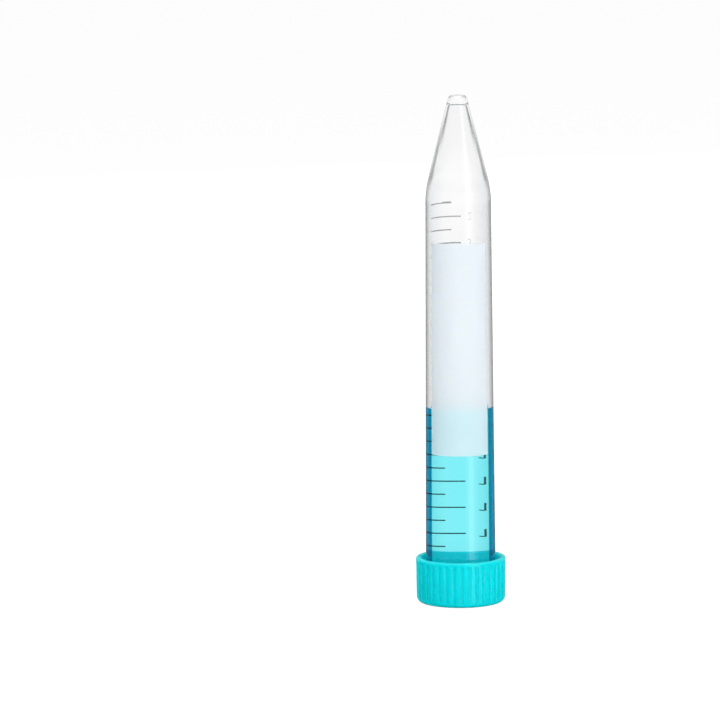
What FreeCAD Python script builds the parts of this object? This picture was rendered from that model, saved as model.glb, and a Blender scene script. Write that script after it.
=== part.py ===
"""15 ml conical tube, standing upside down on its screw cap, as a FreeCAD macro in millimetres.

The frame is +Z up. The origin is the centre of the cap's flat end, which is what the object stands on, and
the tube's pointed end is at the top. The tube and the solution are drawn from the tube's rim, the liner from
its own underside, and each is lifted to its seat by its Placement.
"""
import FreeCAD, Part
import os
import re

import Sketcher

# Driving dimensions: the name of each is its alias in the sheet.
SIZES = {
    # Tube, measured along its own length from the rim
    "tube_length": 118.7,          # rim to the pointed end
    "cone_length": 22.4,           # length of the conical end
    "mouth_radius": 8.35,          # outside, at the rim
    "shoulder_radius": 7.75,       # outside, where the cone starts
    "tip_radius": 2.1,             # outside, at the flat pointed end
    "mouth_wall": 1.1,
    "shoulder_wall": 0.85,
    "tip_wall": 1.85,              # thickness of the pointed end
    "tip_bore_radius": 2.1,
    "bore_shoulder_rise": 0.8,     # the bore's shoulder lies this much further up than the outside's
    "shoulder_round": 25.0,
    "tip_round": 1.1,
    "bore_end_round": 2.4,
    "rim_round": 0.25,
    # Thread, shared by the tube's outside and the cap's inside
    "thread_lead": 3.0,
    "thread_height": 0.85,
    "thread_root": 1.3,            # width of the ridge at its root, inside the wall
    "thread_crest": 0.5,           # width of the ridge at its top
    "thread_seat": 0.3,            # how deep the ridge's root lies in its wall
    "thread_gap": 0.3,             # from a ridge's top to the wall it faces
    "flank_gap": 0.2,              # along the axis, between the flanks that bear on each other
    "tube_thread_margin": 0.1,     # from the tube's rim to its ridge
    "tube_thread_turns": 1.5,      # at full height, between its two fades
    "thread_fade_turns": 0.25,     # at each end of the tube's ridge, where it sinks into the wall
    "cap_thread_margin": 1.5,      # from the cap's ridge to its rim
    # Cap
    "cap_height": 10.9,
    "cap_wall": 1.2,
    "cap_floor": 1.5,
    "cap_draft": 0.15,             # how much narrower the cap is at its closed end
    "cap_edge_round": 1.4,
    "cap_rim_round": 0.45,
    "grip_band": 0.9,              # smooth band at the cap's rim, above the flutes
    "grip_count": 36,
    "grip_depth": 0.3,
    "grip_round": 0.75,            # radius of each flute
    # Liner and solution
    "liner_thickness": 1.0,
    "liner_gap": 0.1,              # radial, between the liner and the cap's bore
    "fill_depth": 43.9,            # depth of the solution above the rim
}

# Lengths that follow from the driving dimensions.
DERIVED = {
    "rim_height": "cap_floor + liner_thickness",
    "shoulder_height": "tube_length - cone_length",
    "mouth_bore": "mouth_radius - mouth_wall",
    "shoulder_bore": "shoulder_radius - shoulder_wall",
    "bore_shoulder": "shoulder_height + bore_shoulder_rise",
    "bore_end": "tube_length - tip_wall",
    "fill_bore": "mouth_bore - (mouth_bore - shoulder_bore) * fill_depth / bore_shoulder",
    "cap_bore": "mouth_radius + thread_height + thread_gap",
    "cap_radius": "cap_bore + cap_wall",
    "tube_thread_start": "tube_thread_margin + thread_root / 2 + thread_lead * thread_fade_turns",
    "tube_thread_end": "tube_thread_start + thread_lead * tube_thread_turns",
    "fade_angle": "atan((thread_height + thread_seat) / (thread_lead * thread_fade_turns))",
    "flank_slope": "(thread_root - thread_crest) / (2 * (thread_height + thread_seat))",
    "ridge_overlap": "thread_root - flank_slope * (thread_height + thread_gap + 2 * thread_seat)",
    "cap_thread_start": "rim_height + tube_thread_start + ridge_overlap + flank_gap",
    "cap_thread_end": "cap_height - cap_thread_margin - thread_root / 2",
    "cap_thread_turns": "(cap_thread_end - cap_thread_start) / thread_lead",
}

SHEET = "Dimensions"


def formula(text):
    """The expression for a length written with the names above."""
    def expand(name):
        word = name.group()
        if word in DERIVED:
            return "(" + formula(DERIVED[word]) + ")"
        return f"{SHEET}.{word}" if word in SIZES else word
    return re.sub(r"[a-z_]+", expand, text)


def make_sheet(document):
    """The sheet of driving dimensions, a name and a number to each row."""
    sheet = document.addObject("Spreadsheet::Sheet", SHEET)
    for row, (name, value) in enumerate(SIZES.items(), start=1):
        sheet.set(f"A{row}", name)
        sheet.set(f"B{row}", str(value))
        sheet.setAlias(f"B{row}", name)
    document.recompute()


def value_of(sheet, text):
    """The number that a length written with the names above comes to."""
    return float(sheet.evalExpression(formula(text)))


def origin_feature(body, role):
    """The plane or axis of a body's own origin with that role, such as XZ_Plane or Z_Axis."""
    return next(item for item in body.Origin.OriginFeatures if item.Role == role)


def new_body(document, label, height="0"):
    """An empty body, lifted along +Z."""
    body = document.addObject("PartDesign::Body", label)
    body.Label = label
    body.Placement = FreeCAD.Placement()
    body.setExpression("Placement.Base.z", formula(height))
    return body


def new_sketch(body, name, plane):
    """An empty sketch on one of the body's origin planes."""
    sketch = body.newObject("Sketcher::SketchObject", name)
    sketch.AttachmentSupport = [(origin_feature(body, plane), "")]
    sketch.MapMode = "FlatFace"
    return sketch


def pin_point(sketch, geometry, point, place):
    """Ties one point of a sketch to its two lengths, or to an axis where a length is 0."""
    for axis, kind, text in ((-2, "DistanceX", place[0]), (-1, "DistanceY", place[1])):
        if text == "0":
            sketch.addConstraint(Sketcher.Constraint("PointOnObject", geometry, point, axis))
            continue
        length = value_of(sketch.Document.getObject(SHEET), text)
        number = sketch.addConstraint(Sketcher.Constraint(kind, -1, 1, geometry, point, length))
        sketch.setExpression(f"Constraints[{number}]", formula(text))


def half_section(body, name, corners):
    """A closed outline in the XZ plane. Each corner is a pair of lengths: radius, then height."""
    sketch = new_sketch(body, name, "XZ_Plane")
    sheet = body.Document.getObject(SHEET)
    points = [FreeCAD.Vector(value_of(sheet, r), value_of(sheet, z), 0) for r, z in corners]
    count = len(points)
    for index in range(count):
        sketch.addGeometry(Part.LineSegment(points[index], points[(index + 1) % count]))
    for index in range(count):
        sketch.addConstraint(Sketcher.Constraint("Coincident", index, 2, (index + 1) % count, 1))
    for index, corner in enumerate(corners):
        pin_point(sketch, index, 1, corner)
    return sketch


def spin(body, kind, name, corners):
    """Turns a half section once about the Z axis, to add or to cut."""
    sketch = half_section(body, name + "_section", corners)
    feature = body.newObject(kind, name)
    feature.Profile = sketch
    feature.ReferenceAxis = (sketch, ["V_Axis"])
    feature.Angle = 360
    body.Document.recompute()


def round_edges(sheet, feature, circles):
    """The names of a feature's round edges, each given by its radius and its height."""
    found = []
    for radius, height in circles:
        want_radius, want_height = value_of(sheet, radius), value_of(sheet, height)
        for number, edge in enumerate(feature.Shape.Edges, start=1):
            curve = edge.Curve
            if isinstance(curve, Part.Circle) and abs(curve.Radius - want_radius) < 1e-4 \
                    and abs(curve.Center.z - want_height) < 1e-4:
                found.append(f"Edge{number}")
    if len(found) != len(circles):
        raise ValueError(f"{feature.Name}: {len(found)} of {len(circles)} round edges found")
    return found


def round_over(body, name, radius, circles):
    """Fillets the round edges of the body's last feature."""
    base = body.Tip
    fillet = body.newObject("PartDesign::Fillet", name)
    fillet.Base = (base, round_edges(body.Document.getObject(SHEET), base, circles))
    fillet.setExpression("Radius", formula(radius))
    body.Document.recompute()


def add_ridge(body, name, root, crest, middle, turns):
    """A right-hand thread ridge. root and crest are its radii, and middle the height of its first end."""
    sketch = half_section(body, name + "_section", [
        (root, f"{middle} - thread_root / 2"),
        (crest, f"{middle} - thread_crest / 2"),
        (crest, f"{middle} + thread_crest / 2"),
        (root, f"{middle} + thread_root / 2"),
    ])
    ridge = body.newObject("PartDesign::AdditiveHelix", name)
    ridge.Profile = sketch
    ridge.ReferenceAxis = (sketch, ["V_Axis"])
    ridge.Mode = "pitch-turns-angle"
    ridge.setExpression("Pitch", formula("thread_lead"))
    ridge.setExpression("Turns", formula(turns))
    return ridge


def sink(ridge):
    """Leads a ridge down into the wall it stands on, over its own turns."""
    ridge.setExpression("Angle", formula("-fade_angle"))


def add_outside_thread(body):
    """The tube's ridge: full height between a lead-in by the rim and a run-out up the barrel."""
    root, crest = "mouth_radius - thread_seat", "mouth_radius + thread_height"
    add_ridge(body, "outside_thread", root, crest, "tube_thread_start", "tube_thread_turns")
    lead_in = add_ridge(body, "lead_in", root, crest, "tube_thread_start", "thread_fade_turns")
    lead_in.Reversed = True
    sink(lead_in)
    run_out = add_ridge(body, "run_out", root, crest, "tube_thread_end", "thread_fade_turns")
    section = run_out.Profile[0]
    round_the_axis = FreeCAD.Rotation(FreeCAD.Vector(0, 1, 0), 1)
    section.AttachmentOffset = FreeCAD.Placement(FreeCAD.Vector(), round_the_axis)
    section.setExpression("AttachmentOffset.Rotation.Angle", formula("360 * tube_thread_turns"))
    sink(run_out)
    body.Document.recompute()


def make_tube(document):
    """The clear moulding: barrel, conical end and outside thread. The bore is cut through them last."""
    body = new_body(document, "tube", "rim_height")
    spin(body, "PartDesign::Revolution", "outside", [
        ("0", "0"),
        ("mouth_radius", "0"),
        ("shoulder_radius", "shoulder_height"),
        ("tip_radius", "tube_length"),
        ("0", "tube_length"),
    ])
    round_over(body, "shoulder_rounding", "shoulder_round", [("shoulder_radius", "shoulder_height")])
    round_over(body, "tip_rounding", "tip_round", [("tip_radius", "tube_length")])
    add_outside_thread(body)
    spin(body, "PartDesign::Groove", "bore", [
        ("0", "0"),
        ("mouth_bore", "0"),
        ("shoulder_bore", "bore_shoulder"),
        ("tip_bore_radius", "bore_end"),
        ("0", "bore_end"),
    ])
    round_over(body, "bore_shoulder_rounding", "shoulder_round", [("shoulder_bore", "bore_shoulder")])
    round_over(body, "bore_end_rounding", "bore_end_round", [("tip_bore_radius", "bore_end")])
    round_over(body, "rim_rounding", "rim_round", [("mouth_radius", "0"), ("mouth_bore", "0")])
    return body


def cut_flutes(body):
    """The upright finger flutes round the cap, which stop below its rim."""
    sketch = new_sketch(body, "flute_section", "XY_Plane")
    sheet = body.Document.getObject(SHEET)
    centre = "cap_radius + grip_round - grip_depth"
    place = FreeCAD.Vector(value_of(sheet, centre), 0, 0)
    circle = sketch.addGeometry(Part.Circle(place, FreeCAD.Vector(0, 0, 1), value_of(sheet, "grip_round")))
    pin_point(sketch, circle, 3, (centre, "0"))
    radius = sketch.addConstraint(Sketcher.Constraint("Radius", circle, value_of(sheet, "grip_round")))
    sketch.setExpression(f"Constraints[{radius}]", formula("grip_round"))
    flute = body.newObject("PartDesign::Pocket", "flute")
    flute.Profile = sketch
    flute.Reversed = True
    flute.setExpression("Length", formula("cap_height - grip_band"))
    body.Document.recompute()
    flutes = body.newObject("PartDesign::PolarPattern", "flutes")
    flutes.Originals = [flute]
    flutes.Axis = (origin_feature(body, "Z_Axis"), [""])
    flutes.Angle = 360
    flutes.setExpression("Occurrences", formula("grip_count"))
    body.Tip = flutes
    body.Document.recompute()


def make_cap(document):
    """The turquoise moulding, open at the top: floor, fluted wall and inside thread."""
    body = new_body(document, "screw_cap")
    spin(body, "PartDesign::Revolution", "shell", [
        ("0", "0"),
        ("cap_radius - cap_draft", "0"),
        ("cap_radius", "cap_height"),
        ("cap_bore", "cap_height"),
        ("cap_bore", "cap_floor"),
        ("0", "cap_floor"),
    ])
    round_over(body, "edge_rounding", "cap_edge_round", [("cap_radius - cap_draft", "0")])
    rims = [("cap_radius", "cap_height"), ("cap_bore", "cap_height")]
    round_over(body, "rim_rounding", "cap_rim_round", rims)
    smooth_volume = body.Tip.Shape.Volume
    cut_flutes(body)
    if body.Tip.Shape.Volume >= smooth_volume:
        raise ValueError("the flutes cut nothing from the cap")
    add_ridge(body, "inside_thread", "cap_bore + thread_seat", "cap_bore - thread_height",
              "cap_thread_start", "cap_thread_turns")
    document.recompute()
    return body


def make_liner(document):
    """The seal disc, loose in the cap's floor."""
    liner = document.addObject("Part::Cylinder", "seal_liner")
    liner.Label = "seal_liner"
    liner.setExpression("Radius", formula("cap_bore - liner_gap"))
    liner.setExpression("Height", formula("liner_thickness"))
    liner.setExpression("Placement.Base.z", formula("cap_floor"))
    return liner


def make_solution(document):
    """The liquid, from the liner up the tube's bore to its level."""
    body = new_body(document, "blue_solution", "rim_height")
    spin(body, "PartDesign::Revolution", "fill", [
        ("0", "0"),
        ("mouth_bore", "0"),
        ("fill_bore", "fill_depth"),
        ("0", "fill_depth"),
    ])
    return body


def check(document, parts):
    """Stops if any object failed, or if a part is not one valid solid."""
    for item in document.Objects:
        if "Invalid" in item.State or "Error" in item.State:
            raise ValueError(f"{item.Name} failed: {item.State}")
    for part in parts:
        shape = part.Shape
        if shape.isNull() or not shape.isValid() or len(shape.Solids) != 1:
            raise ValueError(f"{part.Label} is not one valid solid")


def main():
    document = FreeCAD.newDocument("conical_tube")
    make_sheet(document)
    parts = [make_tube(document), make_cap(document), make_liner(document), make_solution(document)]
    document.recompute()
    check(document, parts)
    os.makedirs("parts", exist_ok=True)
    for part in parts:
        part.Shape.exportStep(f"parts/{part.Label}.step")
        box = part.Shape.BoundBox
        print(f"{part.Label}: {part.Shape.Volume:.1f} mm3, z {box.ZMin:.2f} to {box.ZMax:.2f}")


main()
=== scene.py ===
"""Looks of the 15 ml conical tube: the clear barrel with its print, the blue solution in it, the
turquoise screw cap that it stands on and the seal in the cap."""
import math

import bmesh
import bpy
from mathutils import Matrix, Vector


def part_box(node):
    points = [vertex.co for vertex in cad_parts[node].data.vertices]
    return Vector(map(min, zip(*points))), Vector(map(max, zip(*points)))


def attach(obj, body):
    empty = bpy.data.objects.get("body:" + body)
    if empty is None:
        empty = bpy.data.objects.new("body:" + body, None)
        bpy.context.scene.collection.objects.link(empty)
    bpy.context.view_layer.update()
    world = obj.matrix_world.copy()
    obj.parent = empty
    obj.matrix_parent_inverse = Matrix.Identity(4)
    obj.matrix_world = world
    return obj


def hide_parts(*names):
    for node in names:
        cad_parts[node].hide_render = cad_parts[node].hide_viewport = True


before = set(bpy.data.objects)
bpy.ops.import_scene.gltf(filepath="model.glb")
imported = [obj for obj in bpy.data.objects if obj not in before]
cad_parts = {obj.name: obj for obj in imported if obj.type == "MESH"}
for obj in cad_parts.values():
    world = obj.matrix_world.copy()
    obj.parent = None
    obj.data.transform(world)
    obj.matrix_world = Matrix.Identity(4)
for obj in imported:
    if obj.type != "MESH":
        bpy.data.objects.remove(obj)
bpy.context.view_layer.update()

MM = 0.001

# The barrel as it is moulded, in metres. Heights are above the bench.
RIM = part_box("tube")[0].z
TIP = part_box("tube")[1].z
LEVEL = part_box("blue_solution")[1].z
MOUTH_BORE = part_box("blue_solution")[1].x
MOUTH_RADIUS = MOUTH_BORE + 1.1 * MM
RIM_ROUND = 0.25 * MM
SHOULDER_RADIUS = 7.75 * MM
SHOULDER_BORE = 6.9 * MM
SHOULDER = TIP - 22.4 * MM
BORE_SHOULDER = SHOULDER + 0.8 * MM
SHOULDER_ROUND = 25.0 * MM
TIP_RADIUS = 2.1 * MM
TIP_ROUND = 1.1 * MM
TIP_BORE = 2.1 * MM
BORE_END = TIP - 1.75 * MM
BORE_END_ROUND = 1.1 * MM

# The thread on the barrel
THREAD_LEAD = 3.0 * MM
THREAD_START = RIM + 1.5 * MM
THREAD_TURNS = 1.5
THREAD_FADE = 0.25          # of a turn, over which each end sinks into the wall
THREAD_HEIGHT = 0.85 * MM
THREAD_SEAT = 0.3 * MM
THREAD_CREST = 0.5 * MM
THREAD_ROOT = 1.3 * MM
THREAD_LOW, THREAD_TOP = RIM + 0.2 * MM, RIM + 8.0 * MM
THREAD_WALL = MOUTH_RADIUS - 0.12 * MM  # below THREAD_TOP, all that is wider is the outside

# The print
SCALE_TOP_VALUE = 2         # millilitres
SCALE_TOP = RIM + 89.25 * MM
SCALE_STEP = 6.34 * MM      # between whole millilitres
SCALE_HALVES = range(3, 30)  # the half millilitres that have a line
NUMERALS = range(2, 15)
LINE_WIDTH = 0.28 * MM
LINE_START = math.radians(-72)
LONG_LINE_END = math.radians(6)
SHORT_LINE_END = math.radians(-12)
PRINT_DEPTH = 0.02 * MM
NUMERAL_START = math.radians(17.7)
NUMERAL_SIZE = 2.85 * MM    # a digit is half of this wide with its space
DIGIT_HEIGHT = 0.69 * NUMERAL_SIZE
STROKE_TRIM = 0.02 * MM
NUMERAL_CUTS = 11           # upright ones, which let a numeral bend round the barrel
NUMERAL_CUT_STEP = 0.4 * MM
FLAG = ((0.0, 0.56), (0.0, 0.64), (0.215, 0.691), (0.215, 0.60))  # in numeral sizes
PATCH_LOW, PATCH_HIGH = RIM + 33.7 * MM, RIM + 84.2 * MM
PATCH_ENDS = (math.radians(180 - 52), math.radians(180 + 56))

CLEARANCE = 0.01 * MM       # keeps touching surfaces apart
WETTING = 0.05 * MM         # how far the solution reaches into the wall, so that no air shows
MENISCUS_RISE = 0.6 * MM
MENISCUS_REACH = 1.3 * MM   # inwards, where the rise has dropped to about a third
MENISCUS_WIDTH = 6.5 * MM
WET_LINE = LEVEL + MENISCUS_RISE

# How finely the meshes are made
ON_AXIS = 1e-9
SAME_PLACE = 1e-7
AROUND = 256
THREAD_ROW = 0.1 * MM
ROUNDING_STEPS = 8
MENISCUS_STEPS = 24
LINE_STEPS = 24
PATCH_STEPS = 64
LONGEST_RUN = 4.0 * MM
RUN_END = 0.12 * MM         # from a run's end to its nearest added point
SHARP_DEGREES = 50
NUMERAL_SHARP_DEGREES = 30
WALL_DEPTH = 0.3 * MM       # a point less deep in the wall belongs to the face that it is near

# Painted shade at slanting walls, as shares of the way up the cone: where each mark comes or goes
OUTSIDE_GOES = (0.0, 0.3)
CONE_COMES, CONE_GOES = (0.0, 0.15), (0.5, 0.85)
BORE_COMES = (0.3, 0.7)

# Painted shade at slanting edges, from light that enters head on to light that grazes
OUTSIDE_EDGE_SHADE = (
    (0.0, (1, 1, 1)), (0.1, (0.96, 0.96, 0.97)), (0.22, (0.86, 0.87, 0.89)),
    (0.33, (0.79, 0.80, 0.83)), (0.48, (0.69, 0.71, 0.73)), (0.57, (0.55, 0.57, 0.59)),
    (0.66, (0.32, 0.335, 0.34)), (0.74, (0.26, 0.275, 0.28)), (1.0, (0.1, 0.105, 0.11)))
CONE_EDGE_SHADE = (
    (0.0, (1, 1, 1)), (0.45, (1, 1, 1)), (0.53, (0.24, 0.26, 0.28)),
    (0.66, (0.12, 0.14, 0.16)), (0.76, (0.7, 0.72, 0.73)), (1.0, (0.95, 0.95, 0.95)))
BORE_EDGE_SHADE = (
    (0.0, (1, 1, 1)), (0.39, (0.97, 0.97, 0.98)), (0.49, (0.3, 0.31, 0.33)),
    (0.56, (0.07, 0.08, 0.09)), (1.0, (0.06, 0.07, 0.08)))
SOLUTION_EDGE_SHADE = (
    (0.0, (1, 1, 1)), (0.05, (0.95, 1, 1)), (0.11, (0.75, 1, 1)), (0.218, (0.4, 1, 1)),
    (0.23, (0.0, 0.10, 0.18)), (0.27, (0.0, 0.125, 0.32)), (0.315, (0.005, 0.37, 0.75)))

BUMP_DEPTH = 0.02 * MM
HOLLOW, CREST = 0.3, 0.7    # what the moulded surface's height mostly stays between
TRAPPED_PAINTED_GLOW = 0.5          # painted glow of a wall once light is trapped in it

# The studio
BENCH_REACH = 3.0
AIM_HEIGHT = 0.07           # what the softboxes are aimed at
CAMERA_PLACE = (-0.0236, -1.05, 0.1973)
CAMERA_DIP = 7.536          # degrees below level
CAMERA_ROLL = -0.572
CAMERA_LENS = 222.8
SENSOR_WIDTH = 36.0
# Each has a name, an azimuth and an elevation in degrees, a distance, a size and a radiance, and
# says whether surfaces mirror it.
SOFTBOXES = (
    ("wide_strip", 37, 0, 0.6, (0.42, 0.9), 0.6, True),
    ("narrow_strip", 36, 0, 0.6, (0.18, 0.9), 1.4, True),
    ("key_softbox", 12, 20, 1.0, (0.9, 0.8), 2.7, False),
    ("overhead_softbox", 0, 80, 0.9, (0.8, 0.8), 1.5, True),
    ("back_softbox", 200, 25, 1.0, (0.9, 0.8), 4.0, False),
)


# ------------------------------------------------------------ outlines and turned pieces

def turn_between(start, end):
    """The turn from one angle to another, the shorter way round."""
    return (end - start + math.pi) % (2 * math.pi) - math.pi


def rounded(corners):
    """An outline in radius and height. Each corner is a radius, a height and its rounding."""
    outline = []
    for index, (radius, height, rounding) in enumerate(corners):
        if not rounding:
            outline.append((radius, height))
            continue
        back, ahead = (math.atan2(other[1] - height, other[0] - radius)
                       for other in (corners[index - 1], corners[index + 1]))
        turn = turn_between(back, ahead)
        reach = rounding / math.tan(abs(turn) / 2)
        middle = back + turn / 2
        to_centre = rounding / math.sin(abs(turn) / 2)
        centre = (radius + to_centre * math.cos(middle), height + to_centre * math.sin(middle))
        start, end = (math.atan2(height + reach * math.sin(side) - centre[1],
                                 radius + reach * math.cos(side) - centre[0])
                      for side in (back, ahead))
        sweep = turn_between(start, end)
        for step in range(ROUNDING_STEPS + 1):
            angle = start + sweep * step / ROUNDING_STEPS
            outline.append((centre[0] + rounding * math.cos(angle),
                            centre[1] + rounding * math.sin(angle)))
    return outline


def between(start, end, share):
    """The point that is a share of the way from start to end."""
    return (start[0] + (end[0] - start[0]) * share, start[1] + (end[1] - start[1]) * share)


def filled_in(outline):
    """The outline with points added along its straight runs, one close to each end, so that it
    shades truly."""
    points = [outline[0]]
    for end in outline[1:]:
        start = points[-1]
        length = math.dist(start, end)
        if length > 4 * RUN_END:
            count = max(1, math.ceil((length - 2 * RUN_END) / LONGEST_RUN))
            for step in range(count + 1):
                share = (RUN_END + (length - 2 * RUN_END) * step / count) / length
                points.append(between(start, end, share))
        points.append(end)
    return points


def turned(name, outline, shape=None):
    """A piece turned from an outline. shape(angle, radius, height) gives the radius where it
    isn't round."""
    mesh = bmesh.new()
    rings = []
    for radius, height in outline:
        if radius < ON_AXIS:
            rings.append([mesh.verts.new((0, 0, height))])
            continue
        ring = []
        for number in range(AROUND):
            angle = 2 * math.pi * number / AROUND
            reach = shape(angle, radius, height) if shape else radius
            ring.append(mesh.verts.new((reach * math.cos(angle), reach * math.sin(angle), height)))
        rings.append(ring)
    for lower, upper in zip(rings, rings[1:]):
        for number in range(AROUND):
            following = (number + 1) % AROUND
            corners = [lower[number % len(lower)], lower[following % len(lower)],
                       upper[following % len(upper)], upper[number % len(upper)]]
            mesh.faces.new(list(dict.fromkeys(corners)))
    return closed(name, mesh)


def finished(name, mesh, sharp_degrees=SHARP_DEGREES):
    """Turns a bmesh into a smooth-shaded object in the scene."""
    data = bpy.data.meshes.new(name)
    mesh.to_mesh(data)
    mesh.free()
    data.shade_smooth()
    data.set_sharp_from_angle(angle=math.radians(sharp_degrees))
    piece = bpy.data.objects.new(name, data)
    bpy.context.scene.collection.objects.link(piece)
    return piece


def closed(name, mesh, sharp_degrees=SHARP_DEGREES):
    """Turns a bmesh of closed shells, all facing outwards, into an object in the scene."""
    bmesh.ops.recalc_face_normals(mesh, faces=mesh.faces)
    return finished(name, mesh, sharp_degrees)


def barrel_radius(height):
    """The barrel's outside radius at a height below its shoulder."""
    share = (height - RIM) / (SHOULDER - RIM)
    return MOUTH_RADIUS + (SHOULDER_RADIUS - MOUTH_RADIUS) * share


def bore_radius(height):
    """The bore's radius at a height below its shoulder."""
    share = (height - RIM) / (BORE_SHOULDER - RIM)
    return MOUTH_BORE + (SHOULDER_BORE - MOUTH_BORE) * share


# ------------------------------------------------------------ barrel and solution

def thread_rise(angle, height):
    """How far the thread stands proud of the barrel at an angle and a height."""
    slope = (THREAD_ROOT - THREAD_CREST) / 2 / (THREAD_HEIGHT + THREAD_SEAT)
    rise = 0.0
    for turn in range(-1, 3):
        turns = angle / (2 * math.pi) + turn
        if not -THREAD_FADE < turns < THREAD_TURNS + THREAD_FADE:
            continue
        faded = max(-turns, turns - THREAD_TURNS, 0) / THREAD_FADE
        crest = THREAD_HEIGHT - faded * (THREAD_HEIGHT + THREAD_SEAT)
        off_middle = abs(height - THREAD_START - THREAD_LEAD * turns)
        rise = max(rise, min(crest, crest - (off_middle - THREAD_CREST / 2) / slope))
    return rise


def barrel_shape(angle, radius, height):
    """The barrel's radius with the thread on its outside."""
    outside = radius > THREAD_WALL and height > THREAD_LOW
    return radius + thread_rise(angle, height) if outside else radius


def rows_for_thread(outline):
    """The outline with close rows of points where the thread is."""
    finer = []
    for start, end in zip(outline, outline[1:]):
        finer.append(start)
        outside = min(start[0], end[0]) > THREAD_WALL and start[1] < THREAD_TOP
        rise = abs(end[1] - start[1])
        if outside and rise > 2 * THREAD_ROW:
            count = math.ceil(rise / THREAD_ROW)
            finer += [between(start, end, step / count) for step in range(1, count)]
    return finer + [outline[-1]]


def eased(start, end, value):
    """0 before start, 1 after end and a soft step between."""
    share = min(max((value - start) / (end - start), 0.0), 1.0)
    return share * share * (3 - 2 * share)


def mark_walls(barrel):
    """Marks where painted shade darkens the walls at a slant: on the outside below the cone, on the
    cone and on the bore inside it."""
    names = ("outside_edge", "cone_edge", "bore_edge")
    for name in names:
        barrel.data.attributes.new(name, "FLOAT", "POINT")
    outside, cone, inside = (barrel.data.attributes[name].data for name in names)
    for number, vertex in enumerate(barrel.data.vertices):
        height = vertex.co.z
        up_cone = min(max((height - SHOULDER) / (TIP - SHOULDER), 0.0), 1.0)
        middle = barrel_radius(height) - WALL_DEPTH
        if height > SHOULDER:
            middle = SHOULDER_RADIUS + (TIP_RADIUS - SHOULDER_RADIUS) * up_cone - WALL_DEPTH
        if height > BORE_END + CLEARANCE or vertex.co.xy.length > middle:
            outside[number].value = 1.0 - eased(*OUTSIDE_GOES, up_cone)
            cone[number].value = eased(*CONE_COMES, up_cone) * (1.0 - eased(*CONE_GOES, up_cone))
        else:
            inside[number].value = eased(*BORE_COMES, up_cone)


def make_barrel():
    """The clear moulding, from the end of its bore round the rim to its pointed end. Its second
    material is for the wet part of the bore."""
    rim = RIM + CLEARANCE
    outline = filled_in(rounded([
        (0, BORE_END, 0),
        (TIP_BORE, BORE_END, BORE_END_ROUND),
        (SHOULDER_BORE, BORE_SHOULDER, SHOULDER_ROUND),
        (bore_radius(WET_LINE), WET_LINE, 0),
        (MOUTH_BORE, rim, RIM_ROUND),
        (MOUTH_RADIUS, rim, RIM_ROUND),
        (SHOULDER_RADIUS, SHOULDER, SHOULDER_ROUND),
        (TIP_RADIUS, TIP, TIP_ROUND),
        (0, TIP, 0),
    ]))
    barrel = turned("clear_barrel", rows_for_thread(outline), barrel_shape)
    mark_walls(barrel)
    for face in barrel.data.polygons:
        radius, height = face.center.xy.length, face.center.z
        in_solution = rim + WALL_DEPTH < height < WET_LINE
        wet = in_solution and radius < bore_radius(height) + WALL_DEPTH
        face.material_index = 1 if wet else 0
    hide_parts("tube")
    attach(barrel, "barrel")
    return barrel


def make_solution():
    """The blue solution, wetting the bore and creeping a little up its wall, which is marked."""
    floor = RIM + 2 * CLEARANCE
    rim = bore_radius(LEVEL) + WETTING
    outline = filled_in([(0, floor), (bore_radius(floor) + WETTING, floor), (rim, WET_LINE)])
    for step in range(1, MENISCUS_STEPS + 1):
        inward = MENISCUS_WIDTH * (step / MENISCUS_STEPS) ** 2
        rise = MENISCUS_RISE * math.exp(-inward / MENISCUS_REACH)
        outline.append((rim - inward, LEVEL + rise))
    outline.append((0, LEVEL))
    solution = turned("blue_liquid", outline)
    wall = solution.data.attributes.new("wall", "FLOAT", "POINT").data
    for number, vertex in enumerate(solution.data.vertices):
        at_wall = vertex.co.xy.length > bore_radius(vertex.co.z) + WETTING / 2
        wall[number].value = 1.0 if at_wall else 0.0
    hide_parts("blue_solution")
    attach(solution, "barrel")
    return solution


# ------------------------------------------------------------ print on the barrel

def on_barrel(azimuth, height, lift):
    """A point on the barrel, at an azimuth from the back towards +X, lifted off its surface."""
    radius = barrel_radius(height) + lift
    return (radius * math.sin(azimuth), radius * math.cos(azimuth), height)


def line_height(millilitres):
    """The height of a value on the scale."""
    return SCALE_TOP - SCALE_STEP * (millilitres - SCALE_TOP_VALUE)


def join_rings(mesh, one, other):
    """Joins two rings of four points with four faces."""
    for number in range(4):
        following = (number + 1) % 4
        mesh.faces.new([one[number], one[following], other[following], other[number]])


def add_label(mesh, azimuths, heights, lifts, steps):
    """Adds a thin curved plate between two azimuths, two heights and two lifts."""
    low, high = heights
    under, over = lifts
    rings = []
    for step in range(steps + 1):
        azimuth = azimuths[0] + (azimuths[1] - azimuths[0]) * step / steps
        corners = ((low, under), (high, under), (high, over), (low, over))
        rings.append([mesh.verts.new(on_barrel(azimuth, *corner)) for corner in corners])
    for left, right in zip(rings, rings[1:]):
        join_rings(mesh, left, right)
    mesh.faces.new(rings[0])
    mesh.faces.new(rings[-1])


def make_scale():
    """The graduation lines, one to each half millilitre, long at the whole ones."""
    mesh = bmesh.new()
    for halves in SCALE_HALVES:
        height = line_height(halves / 2)
        end = LONG_LINE_END if halves % 2 == 0 else SHORT_LINE_END
        heights = (height - LINE_WIDTH / 2, height + LINE_WIDTH / 2)
        add_label(mesh, (LINE_START, end), heights, (-2 * PRINT_DEPTH, -PRINT_DEPTH), LINE_STEPS)
    scale = closed("scale_lines", mesh)
    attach(scale, "barrel")
    return scale


def written(value):
    """A numeral as a flat, thin plate, in a mesh of its own."""
    text = bpy.data.curves.new("numeral", "FONT")
    text.body = str(value)
    text.size = NUMERAL_SIZE
    text.offset = -STROKE_TRIM
    text.extrude = PRINT_DEPTH / 2
    holder = bpy.data.objects.new("numeral", text)
    flat = bpy.data.meshes.new_from_object(holder)
    bpy.data.objects.remove(holder)
    bpy.data.curves.remove(text)
    return flat


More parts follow.
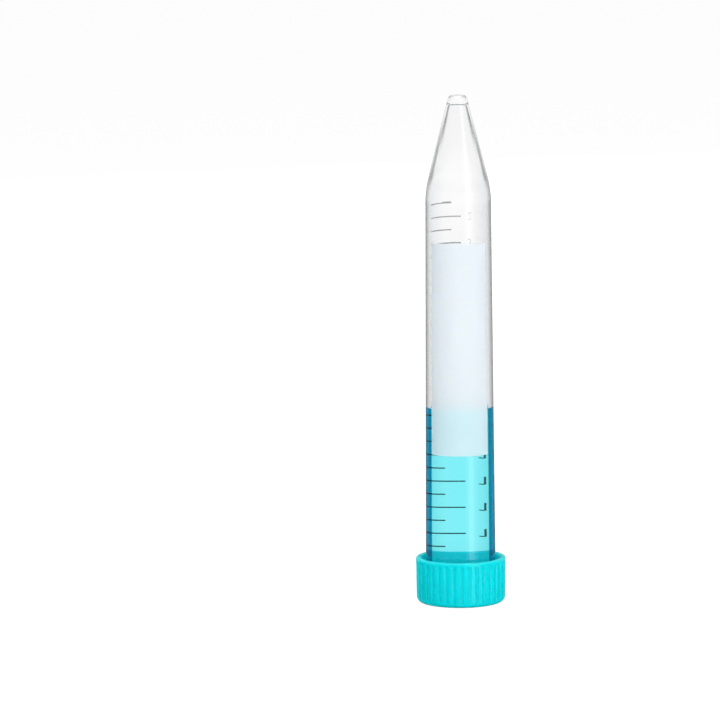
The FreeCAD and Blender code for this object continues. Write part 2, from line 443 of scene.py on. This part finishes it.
def add_flag(letters, left):
    """The flag at the top of a 1, whose font has it as a plain bar. left is where it starts."""
    sides = []
    for out in (-PRINT_DEPTH / 2, PRINT_DEPTH / 2):
        sides.append([letters.verts.new((left + x * NUMERAL_SIZE, y * NUMERAL_SIZE, out))
                      for x, y in FLAG])
        letters.faces.new(sides[-1])
    join_rings(letters, *sides)


def bend_on_barrel(letters, height):
    """Cuts flat letters upright, so that they bend, and lays them on the barrel upside down, with
    their middle at a height."""
    for cut in range(1, NUMERAL_CUTS + 1):
        everything = letters.verts[:] + letters.edges[:] + letters.faces[:]
        bmesh.ops.bisect_plane(letters, geom=everything, plane_no=(1, 0, 0),
                               plane_co=(cut * NUMERAL_CUT_STEP, 0, 0))
    for vertex in letters.verts:
        across, up, out = vertex.co
        azimuth = NUMERAL_START + across / barrel_radius(height)
        vertex.co = on_barrel(azimuth, height + DIGIT_HEIGHT / 2 - up, out - 1.5 * PRINT_DEPTH)


def make_numerals():
    """The numerals beside the whole millilitres, which read the right way up with the cap on
    top."""
    mesh = bmesh.new()
    for value in NUMERALS:
        flat = written(value)
        letters = bmesh.new()
        letters.from_mesh(flat)
        bmesh.ops.remove_doubles(letters, verts=letters.verts, dist=SAME_PLACE)
        for place, digit in enumerate(str(value)):
            if digit == "1":
                add_flag(letters, place * NUMERAL_SIZE / 2)
        bend_on_barrel(letters, line_height(value))
        letters.to_mesh(flat)
        letters.free()
        mesh.from_mesh(flat)
        bpy.data.meshes.remove(flat)
    numerals = closed("scale_numerals", mesh, NUMERAL_SHARP_DEGREES)
    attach(numerals, "barrel")
    return numerals


def make_patch():
    """The white write-on patch, printed on the front."""
    mesh = bmesh.new()
    lifts = (CLEARANCE, CLEARANCE + PRINT_DEPTH)
    add_label(mesh, PATCH_ENDS, (PATCH_LOW, PATCH_HIGH), lifts, PATCH_STEPS)
    patch = closed("write_on_patch", mesh)
    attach(patch, "barrel")
    return patch


# ------------------------------------------------------------ parts of materials

def new_material(name):
    """A node material, its nodes, its links and its Principled shader."""
    material = bpy.data.materials.new(name)
    material.use_nodes = True
    nodes = material.node_tree.nodes
    return material, nodes, material.node_tree.links, nodes["Principled BSDF"]


def ramp(nodes, stops):
    """A colour ramp with stops of position and colour."""
    node = nodes.new("ShaderNodeValToRGB")
    elements = node.color_ramp.elements
    while len(elements) < len(stops):
        elements.new(1.0)
    for element, (position, colour) in zip(elements, stops):
        element.position = position
        element.color = (*colour, 1)
    return node


def make_mottle_group():
    """Moulded surface: a slow waviness and a fine grain, for heights and for how matt it is."""
    group = bpy.data.node_groups.new("Moulded surface", "ShaderNodeTree")
    sockets = group.interface
    for name, start in (("Wave size", 400.0), ("Grain size", 4000.0), ("Low", 0.2), ("High", 0.3)):
        socket = sockets.new_socket(name, in_out="INPUT", socket_type="NodeSocketFloat")
        socket.default_value = start
    for name in ("Height", "Roughness"):
        sockets.new_socket(name, in_out="OUTPUT", socket_type="NodeSocketFloat")
    nodes, links = group.nodes, group.links
    given, put_out = nodes.new("NodeGroupInput"), nodes.new("NodeGroupOutput")
    place = nodes.new("ShaderNodeTexCoord")
    waves, grain = nodes.new("ShaderNodeTexNoise"), nodes.new("ShaderNodeTexNoise")
    grain.inputs["Detail"].default_value = 3.0
    for noise, size in ((waves, "Wave size"), (grain, "Grain size")):
        links.new(place.outputs["Object"], noise.inputs["Vector"])
        links.new(given.outputs[size], noise.inputs["Scale"])
    mixed = nodes.new("ShaderNodeMix")
    mixed.inputs["Factor"].default_value = 0.35
    links.new(waves.outputs["Fac"], mixed.inputs["A"])
    links.new(grain.outputs["Fac"], mixed.inputs["B"])
    links.new(mixed.outputs["Result"], put_out.inputs["Height"])
    spread = nodes.new("ShaderNodeMapRange")
    spread.inputs["From Min"].default_value = HOLLOW
    spread.inputs["From Max"].default_value = CREST
    links.new(mixed.outputs["Result"], spread.inputs["Value"])
    links.new(given.outputs["Low"], spread.inputs["To Min"])
    links.new(given.outputs["High"], spread.inputs["To Max"])
    links.new(spread.outputs["Result"], put_out.inputs["Roughness"])
    return group


def add_surface(group, nodes, links, shader, low, high, strength, wave, grain):
    """Places the moulded surface in a material, with its roughness between low and high and its
    bump's strength. Returns its height."""
    surface = nodes.new("ShaderNodeGroup")
    surface.node_tree = group
    for name, value in (("Wave size", wave), ("Grain size", grain), ("Low", low), ("High", high)):
        surface.inputs[name].default_value = value
    links.new(surface.outputs["Roughness"], shader.inputs["Roughness"])
    bump = nodes.new("ShaderNodeBump")
    bump.inputs["Strength"].default_value = strength
    bump.inputs["Distance"].default_value = BUMP_DEPTH
    links.new(surface.outputs["Height"], bump.inputs["Height"])
    links.new(bump.outputs["Normal"], shader.inputs["Normal"])
    return surface.outputs["Height"]


def shade_by_height(nodes, links, shader, height, deep, raised):
    """Colours a surface from its deep places to its raised ones."""
    shades = ramp(nodes, [(HOLLOW, deep), (CREST, raised)])
    links.new(height, shades.inputs["Fac"])
    links.new(shades.outputs["Color"], shader.inputs["Base Color"])


def edge_tint(nodes, links, shader, bands):
    """Paints shade into a clear surface's colour where light enters it at a slant. A band is ramp
    stops and the mesh attribute that says where they count."""
    slant = nodes.new("ShaderNodeLayerWeight")
    slant.inputs["Blend"].default_value = 0.5
    painted_shade = None
    for stops, where in bands:
        shade = ramp(nodes, stops)
        links.new(slant.outputs["Facing"], shade.inputs["Fac"])
        mark = nodes.new("ShaderNodeAttribute")
        mark.attribute_name = where
        layer = nodes.new("ShaderNodeMix")
        layer.data_type, layer.blend_type = "RGBA", "MULTIPLY"
        layer.inputs["A"].default_value = (1, 1, 1, 1)
        links.new(mark.outputs["Fac"], layer.inputs["Factor"])
        if painted_shade:
            links.new(painted_shade, layer.inputs["A"])
        links.new(shade.outputs["Color"], layer.inputs["B"])
        painted_shade = layer.outputs["Result"]
    sides = nodes.new("ShaderNodeNewGeometry")
    mixed = nodes.new("ShaderNodeMix")
    mixed.data_type = "RGBA"
    mixed.inputs["B"].default_value = (1, 1, 1, 1)
    links.new(sides.outputs["Backfacing"], mixed.inputs["Factor"])
    links.new(painted_shade, mixed.inputs["A"])
    links.new(mixed.outputs["Result"], shader.inputs["Base Color"])


def absorb(nodes, links, colour, density):
    """Lets a clear material take up light on the way through."""
    volume = nodes.new("ShaderNodeVolumeAbsorption")
    volume.inputs["Color"].default_value = (*colour, 1)
    volume.inputs["Density"].default_value = density
    links.new(volume.outputs["Volume"], nodes["Material Output"].inputs["Volume"])


def glow_when_trapped(nodes, links, shader):
    """Paints a glow into a wall once a ray has made many crossings or mirrorings, in place of the
    trapped light that would be lost."""
    path, trapped, glow = (nodes.new("ShaderNode" + kind) for kind in ("LightPath", "Math", "Math"))
    trapped.operation, glow.operation = "MAXIMUM", "MULTIPLY"
    for side, (depth, bounces) in enumerate((("Ray Depth", 8.0), ("Glossy Depth", 4.0))):
        reached = nodes.new("ShaderNodeMath")
        reached.operation = "COMPARE"
        links.new(path.outputs[depth], reached.inputs[0])
        reached.inputs[1].default_value, reached.inputs[2].default_value = bounces, 0.5
        links.new(reached.outputs["Value"], trapped.inputs[side])
    links.new(trapped.outputs["Value"], glow.inputs[0])
    glow.inputs[1].default_value = TRAPPED_PAINTED_GLOW
    shader.inputs["Emission Color"].default_value = (1, 1, 1, 1)
    links.new(glow.outputs["Value"], shader.inputs["Emission Strength"])


# ------------------------------------------------------------ materials

def clear_plastic(group, name, dry=True):
    """Clear polypropylene, faintly wavy, with painted shade greying its edges and a painted glow
    where light is trapped. Where it is wet it mirrors nothing head on."""
    material, nodes, links, shader = new_material(name)
    shader.inputs["Transmission Weight"].default_value = 1.0
    shader.inputs["IOR"].default_value = 1.49
    if not dry:
        shader.inputs["Specular Tint"].default_value = (0, 0, 0, 1)
    add_surface(group, nodes, links, shader, 0.0, 0.04, 0.02, wave=150.0, grain=900.0)
    edge_tint(nodes, links, shader, (
        (OUTSIDE_EDGE_SHADE, "outside_edge"), (CONE_EDGE_SHADE, "cone_edge"), (BORE_EDGE_SHADE, "bore_edge")))
    glow_when_trapped(nodes, links, shader)
    return material


def solution_blue():
    """Pale blue solution, with painted shade that turns it bluer, then dark, where it is seen at a
    slant through the wall, and a painted glow where light is trapped. Against the wet wall it
    mirrors nothing head on."""
    material, nodes, links, shader = new_material("Blue_solution_painted_edge_shade")
    shader.inputs["Transmission Weight"].default_value = 1.0
    shader.inputs["IOR"].default_value = 1.33
    shader.inputs["Specular Tint"].default_value = (0, 0, 0, 1)
    shader.inputs["Roughness"].default_value = 0.0
    edge_tint(nodes, links, shader, ((SOLUTION_EDGE_SHADE, "wall"),))
    absorb(nodes, links, (0.24, 0.962, 1.0), 130.0)
    glow_when_trapped(nodes, links, shader)
    return material


def cap_plastic(group):
    """Turquoise polyethylene with a satin, finely grained surface."""
    material, nodes, links, shader = new_material("Turquoise_polyethylene")
    shader.inputs["Specular IOR Level"].default_value = 0.4
    shader.inputs["Subsurface Weight"].default_value = 1.0
    shader.inputs["Subsurface Radius"].default_value = (0.05, 1.0, 1.0)
    shader.inputs["Subsurface Scale"].default_value = 3.5 * MM
    height = add_surface(group, nodes, links, shader, 0.24, 0.32, 0.03, wave=300.0, grain=9000.0)
    shade_by_height(nodes, links, shader, height, (0.0, 0.66, 0.735), (0.0, 0.69, 0.765))
    return material


def seal_rubber(group):
    """Pale grey silicone."""
    material, nodes, links, shader = new_material("Silicone_seal")
    shader.inputs["Specular IOR Level"].default_value = 0.3
    height = add_surface(group, nodes, links, shader, 0.55, 0.7, 0.4, wave=900.0, grain=7000.0)
    shade_by_height(nodes, links, shader, height, (0.74, 0.75, 0.76), (0.82, 0.83, 0.83))
    return material


def print_ink(group, name, full, top_cover):
    """Dark print, a little uneven, whose cover goes from full at the level to thinner at the top
    line."""
    material, nodes, links, shader = new_material(name)
    shader.inputs["Specular IOR Level"].default_value = 0.2
    place, apart, thinned = (
        nodes.new("ShaderNode" + kind) for kind in ("TexCoord", "SeparateXYZ", "MapRange"))
    links.new(place.outputs["Object"], apart.inputs["Vector"])
    links.new(apart.outputs["Z"], thinned.inputs["Value"])
    for end, value in (
            ("From Min", LEVEL), ("From Max", SCALE_TOP), ("To Min", full), ("To Max", top_cover)):
        thinned.inputs[end].default_value = value
    links.new(thinned.outputs["Result"], shader.inputs["Alpha"])
    height = add_surface(group, nodes, links, shader, 0.4, 0.6, 0.1, wave=1500.0, grain=9000.0)
    shade_by_height(nodes, links, shader, height, (0.0, 0.014, 0.02), (0.002, 0.03, 0.04))
    return material


def patch_ink(group):
    """White print that lets some light through."""
    material, nodes, links, shader = new_material("White_print")
    shader.inputs["Transmission Weight"].default_value = 0.6
    shader.inputs["IOR"].default_value = 1.2
    height = add_surface(group, nodes, links, shader, 0.8, 0.9, 0.1, wave=1200.0, grain=9000.0)
    shade_by_height(nodes, links, shader, height, (0.87, 0.93, 0.97), (0.91, 0.96, 0.99))
    return material


def dress(piece, *materials):
    """Gives a piece its materials, the second for its faces with index 1."""
    for material in materials:
        piece.data.materials.append(material)


def dress_cad_node(name, material):
    """Gives a CAD node one material through its slots."""
    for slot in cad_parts[name].material_slots:
        slot.material = material


# ------------------------------------------------------------ studio

def chosen(nodes, links, share, plain, seen):
    """A value between plain and seen, each a number or a socket."""
    mixed = nodes.new("ShaderNodeMix")
    links.new(share, mixed.inputs["Factor"])
    for name, value in (("A", plain), ("B", seen)):
        if isinstance(value, float):
            mixed.inputs[name].default_value = value
        else:
            links.new(value, mixed.inputs[name])
    return mixed.outputs["Result"]


def add_floor():
    """A plain white bench that keeps a faint shadow."""
    mesh = bmesh.new()
    bmesh.ops.create_grid(mesh, x_segments=1, y_segments=1, size=BENCH_REACH)
    floor = finished("bench", mesh)
    floor.location.z = -CLEARANCE
    floor.visible_glossy = False
    material, nodes, links, shader = new_material("Bench_white")
    shader.inputs["Roughness"].default_value = 0.9
    shader.inputs["Specular IOR Level"].default_value = 0.0
    shader.inputs["Emission Color"].default_value = (1, 1, 1, 1)
    path = nodes.new("ShaderNodeLightPath")
    base, glow = 0.8, 0.0
    for ray, seen_base, seen_glow in (
            ("Is Transmission Ray", 0.05, 0.9), ("Is Camera Ray", 0.2, 0.9)):
        base = chosen(nodes, links, path.outputs[ray], base, seen_base)
        glow = chosen(nodes, links, path.outputs[ray], glow, seen_glow)
    links.new(base, shader.inputs["Base Color"])
    links.new(glow, shader.inputs["Emission Strength"])
    dress(floor, material)


def grey_along(nodes, links, axis, greys):
    """A grey by how far a direction points along an axis. Its stops run from 0, straight away,
    to 1, straight along."""
    spread = nodes.new("ShaderNodeMapRange")
    spread.inputs["From Min"].default_value = -1.0
    links.new(axis, spread.inputs["Value"])
    shades = ramp(nodes, [(position, (grey,) * 3) for position, grey in greys])
    links.new(spread.outputs["Result"], shades.inputs["Fac"])
    return shades.outputs["Color"]


def add_surroundings():
    """A white studio: full white where it is looked at, softer where it lights or is mirrored."""
    world = bpy.data.worlds.new("Studio")
    bpy.context.scene.world = world
    world.use_nodes = True
    nodes, links = world.node_tree.nodes, world.node_tree.links
    background = nodes["Background"]
    background.inputs["Color"].default_value = (1, 1, 1, 1)
    path = nodes.new("ShaderNodeLightPath")
    direction, axes = nodes.new("ShaderNodeTexCoord"), nodes.new("ShaderNodeSeparateXYZ")
    links.new(direction.outputs["Generated"], axes.inputs["Vector"])
    towards_back = grey_along(nodes, links, axes.outputs["Y"], (
        (0.3, 0.12), (0.5, 0.04), (0.8, 0.04), (0.95, 0.15)))
    upwards = grey_along(nodes, links, axes.outputs["Z"], (
        (0.455, 0.0), (0.465, 0.6), (0.56, 0.6), (0.58, 0.02), (0.75, 0.8)))
    mirrored = nodes.new("ShaderNodeMath")
    mirrored.operation = "MAXIMUM"
    links.new(towards_back, mirrored.inputs[0])
    links.new(upwards, mirrored.inputs[1])
    strength = 0.38
    for ray, seen in (("Is Glossy Ray", mirrored.outputs["Value"]),
                      ("Is Transmission Ray", 1.0), ("Is Camera Ray", 1.0)):
        strength = chosen(nodes, links, path.outputs[ray], strength, seen)
    links.new(strength, background.inputs["Strength"])


def add_softbox(name, azimuth, elevation, distance, size, radiance, reflected):
    """A softbox aimed at the middle of the tube. Azimuths run from the front towards +X."""
    light = bpy.data.lights.new(name, "AREA")
    light.shape = "RECTANGLE"
    light.size, light.size_y = size
    light.energy = radiance * math.pi * size[0] * size[1]
    lamp = bpy.data.objects.new(name, light)
    azimuth, elevation = math.radians(azimuth), math.radians(elevation)
    level = distance * math.cos(elevation)
    lamp.location = (level * math.sin(azimuth), -level * math.cos(azimuth),
                     AIM_HEIGHT + distance * math.sin(elevation))
    lamp.rotation_euler = (math.radians(90) - elevation, 0, azimuth)
    lamp.visible_glossy = reflected
    lamp.visible_transmission = False
    bpy.context.scene.collection.objects.link(lamp)


def add_camera():
    """The camera, a metre in front of the tube, above it and a little to its left."""
    camera = bpy.data.cameras.new("camera")
    camera.sensor_width = SENSOR_WIDTH
    camera.lens = CAMERA_LENS
    holder = bpy.data.objects.new("camera", camera)
    dip = Matrix.Rotation(math.radians(90 - CAMERA_DIP), 4, "X")
    roll = Matrix.Rotation(math.radians(CAMERA_ROLL), 4, "Z")
    holder.matrix_world = Matrix.Translation(CAMERA_PLACE) @ (dip @ roll)
    bpy.context.scene.collection.objects.link(holder)
    bpy.context.scene.camera = holder


def main():
    """Makes the pieces, dresses them and sets up the studio."""
    group = make_mottle_group()
    dress(make_barrel(), clear_plastic(group, "Clear_polypropylene"),
          clear_plastic(group, "Wetted_polypropylene", dry=False))
    dress(make_solution(), solution_blue())
    dress(make_scale(), print_ink(group, "Line_ink", 0.88, 0.4))
    dress(make_numerals(), print_ink(group, "Numeral_ink", 0.65, 0.15))
    dress(make_patch(), patch_ink(group))
    dress_cad_node("screw_cap", cap_plastic(group))
    dress_cad_node("seal_liner", seal_rubber(group))
    add_floor()
    add_surroundings()
    for softbox in SOFTBOXES:
        add_softbox(*softbox)
    add_camera()
    bpy.context.scene.view_settings.view_transform = "Standard"


main()
